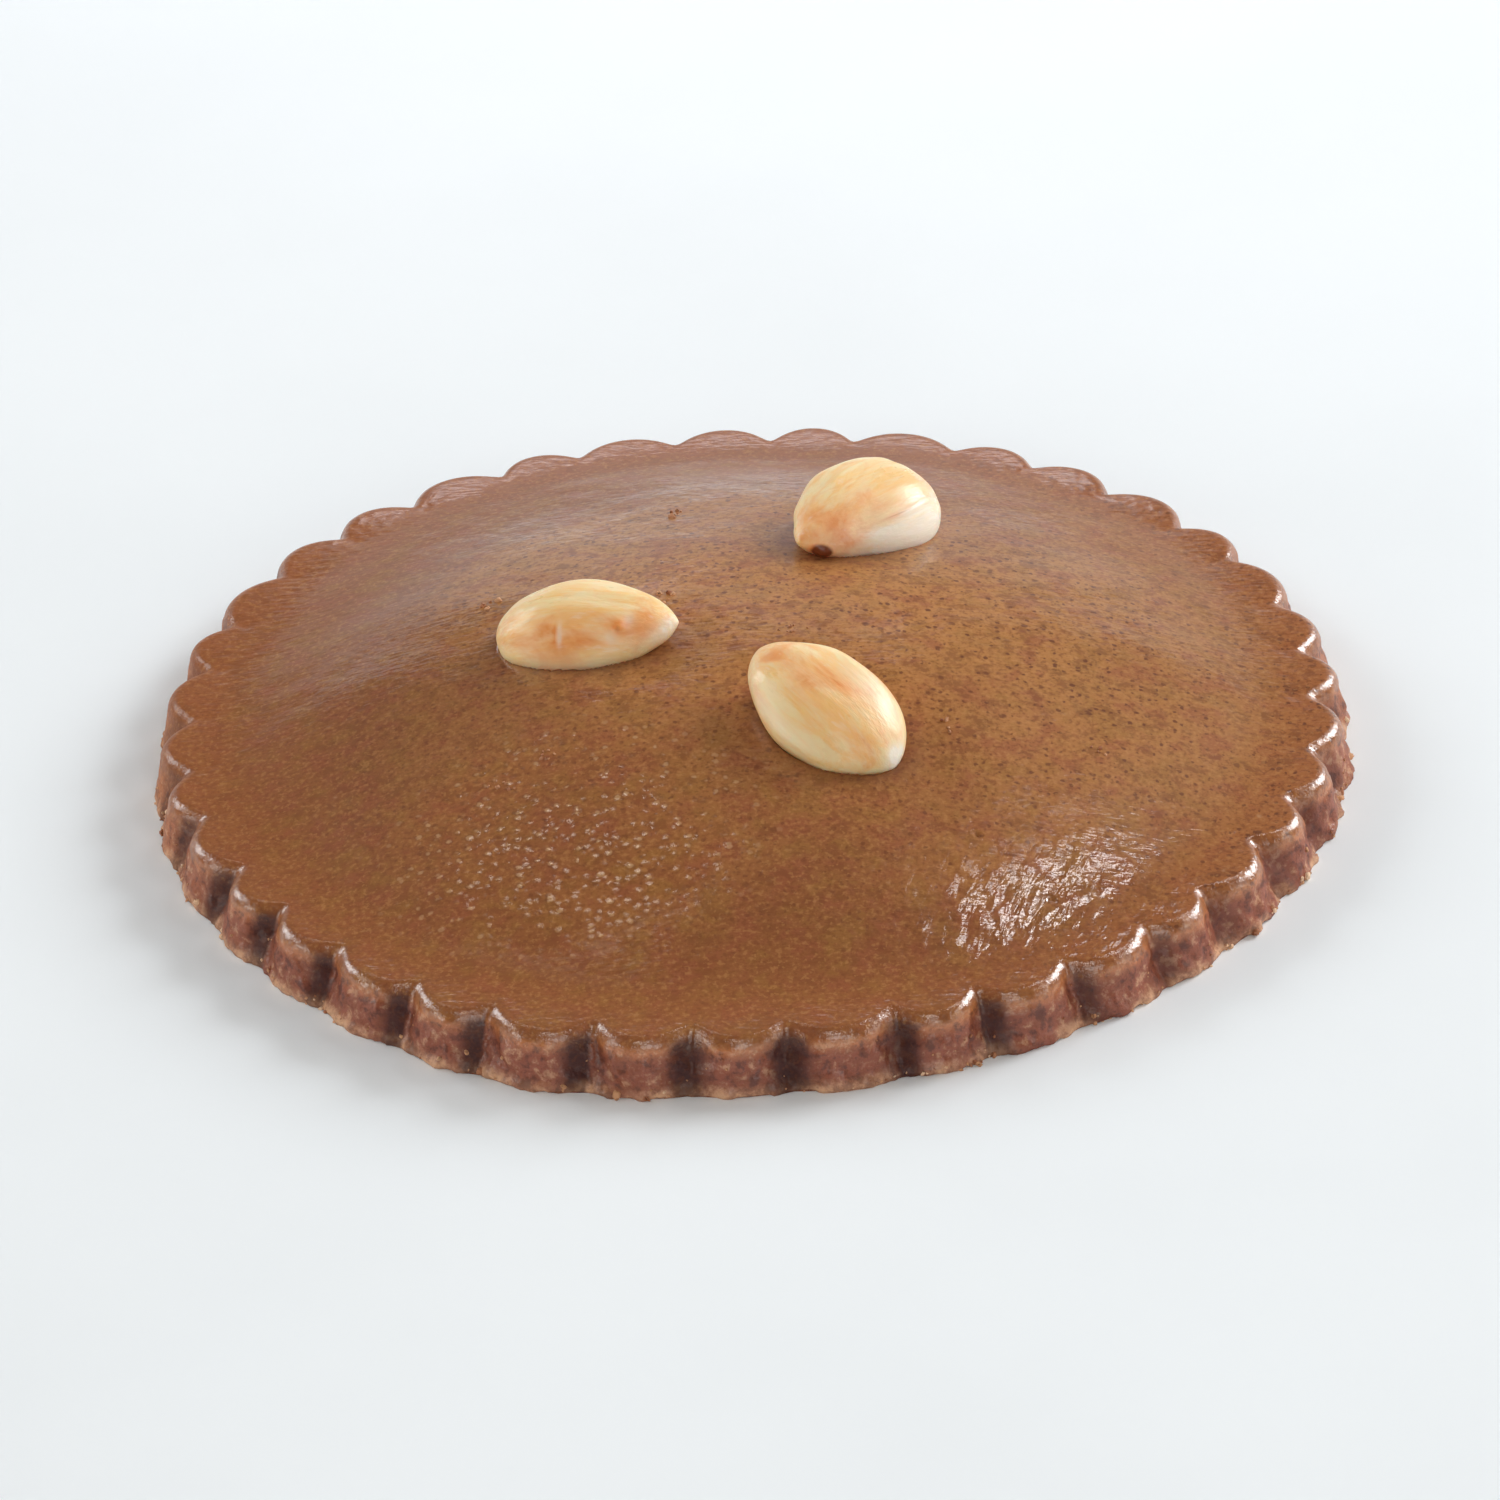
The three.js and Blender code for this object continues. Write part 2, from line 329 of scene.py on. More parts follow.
    shiny = sheet.math("ADD", plain, sheet.ease(beads, 0.1, 0.35), True)
    coat = sheet.times(sheet.attribute("glaze"), shiny)
    roughness = sheet.math("ADD", sheet.times(wall, look["wallRougher"]), look["roughness"])
    return sheet.finish(
        Base_Color=colour, Roughness=roughness, Specular_IOR_Level=look["gloss"], IOR=look["ior"],
        Normal=bumps, Coat_Normal=bumps, Coat_Weight=coat, Coat_Roughness=look["coatRoughness"],
        Coat_IOR=look["coatIor"])


# The case: fluted wall, brim and dome, in mm, with the bulges as middle, spread and swell

cookieShape = dict(
    lobeRadius=57.5, footFlare=0.75, wallHeight=5.9, edgeRound=1.4, footRound=0.4, fluteCount=37,
    firstNotch=-0.25, notchDepthTop=2.3, notchDepthFoot=0.5, lobeArc=0.85, notchBlunt=0.12, notchFade=5.0,
    notchSlip=0.06, notchUneven=0.12, domeRise=10.0, domeRadius=50.0, domeBlend=1.2, bulgeStart=36.0,
    bulges=((140, 32, 1.3), (246, 16, 1.5), (322, 40, -0.95), (70, 22, 0.35)),
    discRadius=44.0, stepsPerFlute=24, brimRows=28, edgeRows=8, wallRows=12, footRows=2,
    undersideRadii=(50.0, 40.0, 28.0, 14.0))


# Height of the lid: the higher of a parabolic dome and a level brim, with a soft change between them.
def lidHeight(radius):
    c = cookieShape
    dome = c["domeRise"] * (1 - (radius / c["domeRadius"]) ** 2)
    return c["wallHeight"] + (dome + np.hypot(dome, c["domeBlend"])) / 2


# A notch's stray between -1 and 1: the sine of the golden angle times its number.
def stray(notch, turn):
    goldenAngle = np.pi * (3 - np.sqrt(5))
    return np.sin(np.mod(notch, cookieShape["fluteCount"]) * goldenAngle * turn + turn)


# Outline of a lobe: a circle's arc, blunted where it meets the next one, from 0 in a notch to 1 on the crown.
def lobeOutline(fromNotch):
    def arc(way):
        return np.sqrt(1 - (cookieShape["lobeArc"] * (1 - np.hypot(way, cookieShape["notchBlunt"]))) ** 2)
    return (arc(fromNotch) - arc(0)) / (arc(1) - arc(0))


# How far the outline is out of round: a bell for each bulge, from its middle, spread and swell.
def outOfRound(angle):
    swells = [swell * bellTowards(angle, middle, np.radians(spread))
              for middle, spread, swell in cookieShape["bulges"]]
    return np.sum(swells, axis=0)


# Draws the plain round case in at the notches between the lobes, deeper at the lid than at the foot and
# dying out towards the middle. Also gives how near a point is to a notch, from 0 on a lobe's crown to 1,
# and its side of the lobe, from -1 to 1.
def flute(radius, angle, height):
    c = cookieShape
    bulge = easeStep(radius, c["bulgeStart"], c["lobeRadius"]) * outOfRound(angle)
    hold = 1 - easeStep(c["lobeRadius"] - c["edgeRound"] - radius, 0, c["notchFade"])
    turn = np.mod((angle - np.radians(c["firstNotch"])) / (2 * np.pi), 1) * c["fluteCount"]
    notch = np.floor(turn)
    share = turn - notch
    slip = c["notchSlip"] * (stray(notch, 1) * (1 - share) + stray(notch + 1, 1) * share)
    uneven = c["notchUneven"] * (stray(notch, 2) * (1 - share) + stray(notch + 1, 2) * share)
    rise = np.sqrt(np.clip(height / c["wallHeight"], 0, 1))
    depth = c["notchDepthFoot"] * (1 - rise) + c["notchDepthTop"] * rise
    lobe = lobeOutline(2 * np.minimum(share, 1 - share))
    flutedRadius = radius + bulge - hold * depth * (1 + uneven) * (1 - lobe)
    flutedAngle = angle + hold * slip * 2 * np.pi / c["fluteCount"]
    return flutedRadius, flutedAngle, hold * (1 - lobe), 2 * share - 1


# Points and faces of the case: a square grid wrapped onto the lid's middle disc, then rings over the
# brim, round the edge, down the wall, round the foot and in under the cookie to one last point.
def caseGrid():
    c = cookieShape
    around = c["fluteCount"] * c["stepsPerFlute"]
    cells = around // 4
    across = np.linspace(-1, 1, cells + 1)
    a, b = np.meshgrid(across, across, indexing="ij")
    wide = np.abs(a) > np.abs(b)
    reach = np.where(wide, a, b)
    ratio = np.divide(np.where(wide, b, a), reach, out=np.zeros_like(a), where=reach != 0)
    angle = np.where(wide, ratio * np.pi / 4, np.pi / 2 - ratio * np.pi / 4) + np.where(reach < 0, np.pi, 0)
    start = np.radians(c["firstNotch"]) + np.pi / 4
    discRadius = np.abs(reach).ravel() * c["discRadius"]
    discAngle = angle.ravel() + start

    number = np.arange((cells + 1) ** 2).reshape(cells + 1, cells + 1)
    border = np.concatenate([number[-1, :-1], number[:0:-1, -1], number[0, :0:-1], number[:-1, 0]])
    disc = np.stack([number[:-1, :-1], number[1:, :-1], number[1:, 1:], number[:-1, 1:]], -1).reshape(-1, 4)

    lidRadius = c["lobeRadius"] - c["edgeRound"]
    edgeFoot = c["wallHeight"] - c["edgeRound"]
    footRadius = c["lobeRadius"] + c["footFlare"]
    brimRadius = np.linspace(c["discRadius"], lidRadius, c["brimRows"] + 1)[1:]
    edgeTurn = np.linspace(np.pi / 2, 0, c["edgeRows"] + 1)[1:]
    wallShare = np.linspace(0, 1, c["wallRows"] + 1)[1:]
    footTurn = np.linspace(0, np.pi / 2, c["footRows"] + 1)[1:]
    under = np.array(c["undersideRadii"])
    rowRadius = np.concatenate([
        brimRadius,
        lidRadius + c["edgeRound"] * np.cos(edgeTurn),
        c["lobeRadius"] + c["footFlare"] * wallShare,
        footRadius - c["footRound"] * (1 - np.cos(footTurn)),
        under])
    rowHeight = np.concatenate([
        lidHeight(brimRadius),
        edgeFoot + (lidHeight(lidRadius) - edgeFoot) * np.sin(edgeTurn),
        edgeFoot + (c["footRound"] - edgeFoot) * wallShare,
        c["footRound"] * (1 - np.sin(footTurn)),
        np.zeros(len(under))])
    rows = len(rowRadius)
    ringAngle = start - np.pi / 4 + np.arange(around) * 2 * np.pi / around

    radius = np.concatenate([discRadius, np.repeat(rowRadius, around), [0]])
    angle = np.concatenate([discAngle, np.tile(ringAngle, rows), [0]])
    height = np.concatenate([lidHeight(discRadius), np.repeat(rowHeight, around), [0]])
    ringNumbers = len(discRadius) + np.arange(rows * around).reshape(rows, around)
    quads = np.concatenate([disc, ringFaces(np.vstack([border, ringNumbers]))])
    last = ringNumbers[-1]
    pole = len(radius) - 1
    fan = np.stack([last, np.full(around, pole), np.roll(last, -1)], -1)
    onBrim = np.repeat(np.arange(rows) < c["brimRows"], around)
    isLid = np.concatenate([np.ones(len(discRadius), bool), onBrim, [False]])
    return radius, angle, height, isLid, quads, fan


# The almonds: middle on the lid, heading of the tip from +X, lift off the lid, pitch of the tip and roll
# of the left side, and the bluntness of the two ends, all in mm and degrees. A mark lies some way along
# the nut, from -1 to 1, at a turn round it, and sinks in, is toasted or is pale.

almondShapes = dict(
    almond_left=dict(
        x=-15.6, y=2.2, heading=346, lift=0.9, pitch=3, roll=15, length=18.5, width=11.2, thickness=7.5,
        bluntEnd=0.53, tipEnd=0.73, bend=0.04, seed=11, marks=[
            dict(along=0.45, turn=52, size=(0.6, 0.7), deep=0.3, toast=0.6, pale=0),
            dict(along=0.55, turn=66, size=(0.5, 0.8), deep=-0.14, toast=0, pale=0.6),
            dict(along=0.38, turn=42, size=(0.5, 0.6), deep=-0.08, toast=0, pale=0.7),
            dict(along=-0.16, turn=52, size=(0.24, 1.0), deep=-0.07, toast=0, pale=0.9),
            dict(along=-0.21, turn=52, size=(0.2, 0.9), deep=0.07, toast=0.4, pale=0),
            dict(along=0.88, turn=15, size=(1.3, 1.3), deep=0, toast=0, pale=1.0),
            dict(along=0.05, turn=52, size=(6.5, 1.9), deep=0, toast=0.75, pale=0),
            dict(along=-0.1, turn=5, size=(7.0, 1.6), deep=0, toast=0, pale=0.25)]),
    almond_back=dict(
        x=10.7, y=23.5, heading=232, lift=1.4, pitch=-3, roll=-11, length=18.7, width=12.8, thickness=8.5,
        bluntEnd=0.46, tipEnd=0.79, bend=-0.17, seed=12, marks=[
            dict(along=0.84, turn=200, size=(0.8, 0.8), deep=0.7, toast=1.8, pale=0),
            dict(along=-0.2, turn=180, size=(6.0, 3.0), deep=0.35, toast=0, pale=2.6),
            dict(along=-0.12, turn=142, size=(4.0, 0.3), deep=0.1, toast=1.0, pale=0),
            dict(along=0.4, turn=125, size=(4.5, 2.6), deep=0, toast=0.7, pale=0),
            dict(along=0.75, turn=160, size=(2.4, 2.2), deep=0, toast=0.5, pale=0),
            dict(along=-0.7, turn=130, size=(2.4, 2.4), deep=0, toast=0.6, pale=0)]),
    almond_front=dict(
        x=6.8, y=-15.0, heading=132, lift=1.3, pitch=11, roll=-4, length=19.0, width=12.4, thickness=7.9,
        bluntEnd=0.61, tipEnd=0.65, bend=0.0, seed=13, marks=[
            dict(along=-0.94, turn=60, size=(0.8, 1.3), deep=-0.12, toast=0, pale=1.2),
            dict(along=0.25, turn=108, size=(5.5, 1.6), deep=0, toast=0.55, pale=0),
            dict(along=-0.62, turn=122, size=(2.8, 2.3), deep=0, toast=0.35, pale=0),
            dict(along=-0.1, turn=84, size=(3.4, 1.3), deep=0, toast=0.7, pale=0),
            dict(along=0.2, turn=160, size=(6.0, 1.2), deep=0.04, toast=0, pale=0.5),
            # Pale streak on the right flank, partly a painted highlight
            dict(along=-0.35, turn=56, size=(5.0, 1.7), deep=0, toast=0, pale=0.5)]))


# Width of an almond along its length as a share of its full width: a power of the way from each end.
def almondOutline(shape, along):
    blunt, tip = shape["bluntEnd"], shape["tipEnd"]
    widest = (blunt - tip) / (blunt + tip)
    fromBlunt = np.clip((1 + along) / (1 + widest), 0, None) ** blunt
    return fromBlunt * np.clip((1 - along) / (1 - widest), 0, None) ** tip


def almondHalf(shape):
    return np.array([shape["width"], shape["length"], shape["thickness"]]) / 2


# An almond's middle and its three axes (across, along, up), set square to the lid, then tipped and rolled.
def almondFrame(shape):
    step = 0.05
    radius = np.hypot(shape["x"], shape["y"])
    slope = (lidHeight(radius + step) - lidHeight(radius - step)) / (2 * step)
    up = Vector((-slope * shape["x"] / radius, -slope * shape["y"] / radius, 1)).normalized()
    heading = np.radians(shape["heading"])
    level = Vector((np.cos(heading), np.sin(heading), 0))
    along = (level - up * level.dot(up)).normalized()
    square = Matrix((along.cross(up), along, up)).transposed()
    tip = Matrix.Rotation(np.radians(shape["pitch"]), 3, "X")
    roll = Matrix.Rotation(np.radians(shape["roll"]), 3, "Y")
    middle = Vector((shape["x"], shape["y"], lidHeight(radius))) + up * shape["lift"]
    return np.array(middle), np.array(square @ tip @ roll)


# How far points are out of an almond: 1 on its surface, less inside, by its section's ellipse.
def almondReach(shape, points):
    middle, axes = almondFrame(shape)
    half = almondHalf(shape)
    local = (points - middle) @ axes
    along = np.clip(local[:, 1] / half[1], -1, 1)
    outline = np.maximum(almondOutline(shape, along), 0.001)
    across = local[:, 0] - shape["bend"] * (1 - along ** 2)
    return np.hypot(across / half[0], local[:, 2] / half[2]) / outline


# The dough round an almond, in mm: how far it runs into the almond, its wide dip, its narrow lip and how far
# the painted contact shade round it reaches, with the spare length of the span that is halved
almondPress = dict(
    overlap=0.08, dip=0.3, dipReach=3.5, lip=0.1, lipAway=0.4, lipReach=0.9, contactShadeReach=1.0, spare=2,
    halvings=24)


# Presses an almond into the lid: under it the dough follows the almond's lower side, found by halving
# an upright span again and again, and round it the dough dips and swells a little, by a bell each.
def pressAlmond(shape, points):
    p = almondPress
    middle, axes = almondFrame(shape)
    flat = points[:, :2] - middle[:2]
    high = middle[2] - flat @ axes[:2, 2] / axes[2, 2]
    under = almondReach(shape, np.column_stack([points[:, :2], high])) < 1
    low = high - shape["thickness"] - p["spare"]
    for halving in range(p["halvings"]):
        half = (high + low) / 2
        inside = almondReach(shape, np.column_stack([points[:, :2], half])) < 1
        high = np.where(inside, half, high)
        low = np.where(inside, low, half)
    size = almondHalf(shape)
    gap = (np.linalg.norm((points - middle) @ axes / size, axis=1) - 1) * size[0]
    pressed = points[:, 2] - p["dip"] * bell(gap, p["dipReach"])
    pressed += p["lip"] * bell(gap - p["lipAway"], p["lipReach"])
    return np.where(under, np.minimum(pressed, high + p["overlap"]), pressed), gap


# Relief of the dough in mm: the height of each kind of unevenness and its size
doughRelief = dict(
    swell=0.1, swellSize=34, lump=0.03, lumpSize=14, dimple=0.012, dimpleSize=5, pebble=0.008, pebbleSize=1.4,
    crumb=0.11, crumbSize=2.4, fineCrumb=0.05, fineCrumbSize=1.1, footLip=0.22, footLipSize=3.5, palePatch=6,
    wrinkle=0.042, wrinkleSize=2.0, wrinkleHeading=73, wrinkleDraw=0.45,
    wrinklePatch=((29.0, -41.0), (14.0, 11.0)), bubblePatch=((-17.5, -28.0), (16.5, 14.0)), bubbleBase=0.12)

# The finish of the side, with the painted shade in its notches: spans in mm down from the lid or up from the
# foot, and shares
wallFinish = dict(
    brownDown=(0.1, 2.4), leftPaler=0.85, rightPaler=0.35, leanGain=3, flankShade=0.7, notchShadeSpan=(0.14, 0.8),
    notchShadeDown=(0.1, 1.2), endsLighter=0.7, rightEnd=0.7, rightLighter=0.55, rightSpan=(0.3, 0.85),
    lipUp=(0.3, 1.6), lipInNotch=0.6, lipRagged=(-0.6, 1.4), paleRagged=(-1.6, 0.5), crumbly=(0.8, 0.2))

# Where the lid's finish changes: headings in degrees with widths in radians, rings by radius and width,
# patches by middle and reach, and spans of the radius or of X or Y over which a change is eased, in mm
doughPlaces = dict(
    left=(168, 0.42), right=(14, 0.3), frontRim=(245, 1.1), frontBrim=(245, 1.0), glint=(-50, 0.8),
    crown=(8, 26), dryTop=((15, 8), (14, 12)), dryRing=(46, 5), dryBrim=(50, 5.5), glintInner=(12, 20),
    glintOuter=(39, 45), backEdge=(53.5, 56), backY=(5, 35),
    # Brown and shade: the patch at the left is painted shade on the slope turned from the light; the slope,
    # ring, edge and back are partly browning and partly painted shade
    brownAndShadeWay=(-0.55, -0.83), brownAndShadeSpan=(-14, 42), brownRing=(47.5, 4), shadeLeft=((-40, 8), (12, 16)),
    brownEdge=(49, 54), brownEdgeX=(10, 40), brownBack=(32, 42), brownBackX=(5, 35), brownBackY=(5, 25),
    rimInward=(2, 11), calmInward=(2, 12), beaded=(0.1, 0.5))

# How much of the glaze is missing, how much browner the lid is painted, partly browning and partly painted
# shade, and what else a place has, as shares
dryShare = dict(
    crown=0.8, top=0.8, ring=0.5, front=0.95, glint=0.92, wall=0.65, notch=0.6, left=0.8, back=0.2)
brownAndShadeParts = dict(ring=0.3, edge=0.4, edgeRight=-0.8, left=0.6, back=1.2, backRight=-0.6, speckle=-0.6)
rimShare = dict(amber=0.8, front=-0.7)


# Shares of the wall's colour, of the painted shade in the notches, more on a lobe's flank that is nearer to
# the front and turned from the side lamps, and of the lip along the foot, each an eased step down the wall or
# away from a lobe's crown.
def wallShares(angle, height, notch, side, isLid, onSide):
    w = wallFinish
    below = cookieShape["wallHeight"] - height
    atLeft = bellTowards(angle, *doughPlaces["left"])
    atRight = bellTowards(angle, *doughPlaces["right"])
    wall = np.where(isLid, 0.0, easeStep(below, *w["brownDown"]))
    wall = wall * (1 - np.maximum(w["leftPaler"] * atLeft, w["rightPaler"] * atRight))
    # Painted shade in the notches, heavier on the flank turned from the side lamps and lighter at the left
    # and right ends
    lean = np.clip(w["leanGain"] * np.cos(angle), -1, 1)
    shaded = notch * (1 - w["flankShade"] * lean * side)
    notchShade = onSide * easeStep(shaded, *w["notchShadeSpan"]) * easeStep(below, *w["notchShadeDown"])
    notchShade = notchShade * (1 - w["endsLighter"] * np.maximum(atLeft, w["rightEnd"] * atRight))
    notchShade = notchShade * (1 - w["rightLighter"] * easeStep(np.cos(angle), *w["rightSpan"]))
    lip = onSide * (1 - easeStep(height, *w["lipUp"])) * (1 - w["lipInNotch"] * notchShade)
    return wall, notchShade, lip


# Share of the glaze: the full coat less what is dry, one place after another.
def glazeShare(flat, radius, angle, wall, notchShade, wrinkled, onSide):
    dry = dryShare
    at = doughPlaces
    crown = 1 - easeStep(radius, *at["crown"])
    ring = dry["ring"] * ringBell(radius, *at["dryRing"])
    front = dry["front"] * ringBell(radius, *at["dryBrim"]) * bellTowards(angle, *at["frontBrim"])
    band = easeStep(radius, *at["glintInner"]) * (1 - easeStep(radius, *at["glintOuter"]))
    left = dry["left"] * bellTowards(angle, *at["left"]) * onSide
    back = dry["back"] * easeStep(flat[:, 1], *at["backY"]) * easeStep(radius, *at["backEdge"])
    parts = (
        dry["crown"] * crown,
        dry["top"] * patchBell(flat, *at["dryTop"]),
        (1 - (1 - ring) * (1 - front)) * (1 - wrinkled),
        dry["wall"] * wall,
        dry["glint"] * band * bellTowards(angle, *at["glint"]),
        np.maximum(left, back),
        dry["notch"] * notchShade)
    return doughLook["coat"] * np.prod([1 - part for part in parts], axis=0)


# How browned and shaded the dough is painted: a slope across the lid, darker to the front-left, partly
# browning and partly painted shade, with more in a ring, along the edge, at the left, as painted shade on the
# slope turned from the light, and at the back.
def brownAndShadeShare(flat, radius):
    more = brownAndShadeParts
    at = doughPlaces
    x, y = flat.T
    edge = more["edge"] * easeStep(radius, *at["brownEdge"])
    back = more["back"] * easeStep(radius, *at["brownBack"]) * easeStep(y, *at["brownBackY"])
    brownAndShade = easeStep(flat @ np.array(at["brownAndShadeWay"]), *at["brownAndShadeSpan"])
    brownAndShade += more["ring"] * ringBell(radius, *at["brownRing"])
    brownAndShade += edge * (1 + more["edgeRight"] * easeStep(x, *at["brownEdgeX"]))
    brownAndShade += more["left"] * patchBell(flat, *at["shadeLeft"])
    brownAndShade += back * (1 + more["backRight"] * easeStep(x, *at["brownBackX"]))
    return brownAndShade


# Height of the relief: a ripple for each kind of unevenness, where it occurs.
def doughRise(points, inward, onLid, wall, lip, wrinkled):
    relief = doughRelief
    flat = points[:, :2]
    calm = onLid * easeStep(inward, *doughPlaces["calmInward"])
    rise = calm * (relief["swell"] * ripple(flat, relief["swellSize"], 1)
                   + relief["lump"] * ripple(flat, relief["lumpSize"], 2)
                   + relief["dimple"] * ripple(flat, relief["dimpleSize"], 3))
    rise += onLid * relief["pebble"] * ripple(flat, relief["pebbleSize"], 4)
    rise += wall * (relief["crumb"] * ripple(points, relief["crumbSize"], 5)
                    + relief["fineCrumb"] * ripple(points, relief["fineCrumbSize"], 6))
    ragged = easeStep(ripple(flat, relief["footLipSize"], 7), *wallFinish["lipRagged"])
    rise += relief["footLip"] * lip * ragged
    heading = np.radians(relief["wrinkleHeading"])
    turned = flat @ np.array([[np.cos(heading), -np.sin(heading)], [np.sin(heading), np.cos(heading)]])
    drawn = turned * np.array([relief["wrinkleDraw"], 1])
    return rise + relief["wrinkle"] * wrinkled * ripple(drawn, relief["wrinkleSize"], 8)


# The case with its finish: the grid's points, drawn in at the notches and pressed in under the almonds,
# then pushed out along their normals by the relief, with a share of each finish at every point.
def makeCookie():
    relief = doughRelief
    radius, angle, height, isLid, quads, fan = caseGrid()
    flutedRadius, flutedAngle, notch, side = flute(radius, angle, height)
    points = np.column_stack([flutedRadius * np.cos(flutedAngle), flutedRadius * np.sin(flutedAngle), height])
    # Painted contact shade round each almond, fading with the gap to it
    nutContactShade = np.zeros(len(points))
    for shape in almondShapes.values():
        points[isLid, 2], gap = pressAlmond(shape, points[isLid])
        nutContactShade[isLid] = np.maximum(nutContactShade[isLid], bell(np.maximum(gap, 0), almondPress["contactShadeReach"]))

    inward = cookieShape["lobeRadius"] - radius
    flat = points[:, :2]
    onLid = isLid.astype(float)
    isUnder = ~isLid & (height <= 0)
    onSide = np.where(isLid | isUnder, 0.0, 1.0)
    wall, notchShade, lip = wallShares(angle, height, notch, side, isLid, onSide)
    wrinkled = onLid * patchBell(flat, *relief["wrinklePatch"])
    bubbles = patchBell(flat, *relief["bubblePatch"])
    brownAndShade = brownAndShadeShare(flat, radius)
    # Amber lobes round the edge, less amber at the front-left as painted shade
    rim = rimShare["amber"] * (1 - easeStep(inward, *doughPlaces["rimInward"]))
    rim = rim * (1 + rimShare["front"] * bellTowards(angle, *doughPlaces["frontRim"]))
    paleFoot = lip * easeStep(ripple(flat, relief["palePatch"], 9), *wallFinish["paleRagged"])
    glaze = glazeShare(flat, radius, angle, wall, notchShade, wrinkled, onSide)
    attributes = dict(
        wall=wall, rim=rim * (1 - isUnder), notch=notchShade, foot=paleFoot, glaze=glaze * (1 - isUnder),
        brownAndShade=brownAndShade, wrinkled=wrinkled, nutContactShade=nutContactShade,
        speckle=np.clip(1 + brownAndShadeParts["speckle"] * brownAndShade, 0, 1) * (1 - wall),
        crumbly=onSide * (wallFinish["crumbly"][0] + wallFinish["crumbly"][1] * wall),
        beaded=onLid * easeStep(bubbles, *doughPlaces["beaded"]),
        bubbly=(1 - wall) * (relief["bubbleBase"] + bubbles))
    cookie = makePiece("cookieCase", points, quads, fan, attributes, doughMaterial())
    rise = doughRise(points, inward, onLid, wall, lip, wrinkled)
    pushOut(cookie, np.where(isUnder, 0, rise))

    # Nothing reaches below the flat underside
    level = pointsOf(cookie)
    level[:, 2] = np.maximum(level[:, 2], 0)
    setPoints(cookie, level)
    return cookie


# The almonds' skinless flesh: pale gold with toasted streaks along the nut, and marks of their own

almondLook = dict(
    flesh=(255, 227, 180), gold=(255, 206, 136), toasted=(232, 150, 76), pale=(255, 236, 220),
    dark=(118, 60, 30), streakSize=1.3, streakDraw=0.16, stainSize=3.6, stainDraw=0.45,
    lineSize=0.6, lineDepth=0.1, roughness=0.32, smoother=0.06, rougher=0.12, ior=1.46,
    subsurface=0.7, subsurfaceRadius=(1.0, 0.6, 0.4), subsurfaceDepth=3.0)

# The almonds' grid and relief in mm, with ridges drawn out along the nut
almondRelief = dict(
    stations=150, sides=140, ridge=0.05, ridgeSize=2.6, ridgeDraw=0.22, lump=0.06, lumpSize=8, lumpSeed=20,
    leastGirth=0.4, endFade=8)


def almondMaterial():
    look = almondLook
    sheet = NodeSheet("blanchedAlmond")
    grain = sheet.attribute("grain", "Vector")
    toast = sheet.attribute("toast")
    streakScale = (1.0, look["streakDraw"], 1.0)
    stainScale = (1.0, look["stainDraw"], 1.0)
    lengthwise = sheet.add("ShaderNodeMapping", {"Vector": grain, "Scale": streakScale}).outputs[0]
    loose = sheet.add("ShaderNodeMapping", {"Vector": grain, "Scale": stainScale}).outputs[0]
    streak = sheet.noise(look["streakSize"], 4, 0.6, 0.4, lengthwise)
    stain = sheet.noise(look["stainSize"], 4, 0.6, 0.6, loose)

    colour = sheet.tint(sheet.ease(streak, 0.35, 0.65), tone(look["flesh"]), look["gold"])
    patchy = sheet.times(toast, sheet.ease(stain, 0.35, 0.6, 0.35, 1.1))
    baked = sheet.math("ADD", patchy, sheet.ease(stain, 0.5, 0.7, 0.0, 0.45), True)
    colour = sheet.tint(baked, colour, look["toasted"])
    paleMarks = sheet.times(sheet.attribute("pale"), sheet.ease(streak, 0.35, 0.6, 0.5, 1.0))
    paleShare = sheet.math("ADD", paleMarks, sheet.ease(streak, 0.58, 0.72, 0.0, 0.35), True)
    colour = sheet.tint(paleShare, colour, look["pale"])
    colour = sheet.tint(sheet.ease(toast, 0.95, 1.5), colour, look["dark"])

    lines = sheet.bump(sheet.noise(look["lineSize"], 3, 0.6, 0.2, lengthwise), look["lineDepth"])
    smooth = look["roughness"] - look["smoother"]
    rough = look["roughness"] + look["rougher"]
    return sheet.finish(
        Base_Color=colour, Roughness=sheet.ease(stain, 0.3, 0.7, smooth, rough), Normal=lines,
        Subsurface_Weight=look["subsurface"], Subsurface_Radius=look["subsurfaceRadius"],
        Subsurface_Scale=look["subsurfaceDepth"] * mm, IOR=look["ior"])


# Points and faces of a ball with its poles at -Y and +Y: places from -1 to 1 along Y, turns from +X to +Z.
def ballGrid(stations, sides):
    along = -np.cos(np.linspace(0, np.pi, stations + 1)[1:-1])
    around = np.arange(sides) * 2 * np.pi / sides
    t, turn = (grid.ravel() for grid in np.meshgrid(along, around, indexing="ij"))
    numbers = np.arange(t.size).reshape(len(along), sides)
    first, last = numbers[0], numbers[-1]
    fans = np.vstack([
        np.stack([np.full(sides, t.size), np.roll(first, 1), first], -1),
        np.stack([np.full(sides, t.size + 1), np.roll(last, -1), last], -1)])
    return np.append(t, [-1, 1]), np.append(turn, [0, 0]), ringFaces(numbers[::-1]), fans


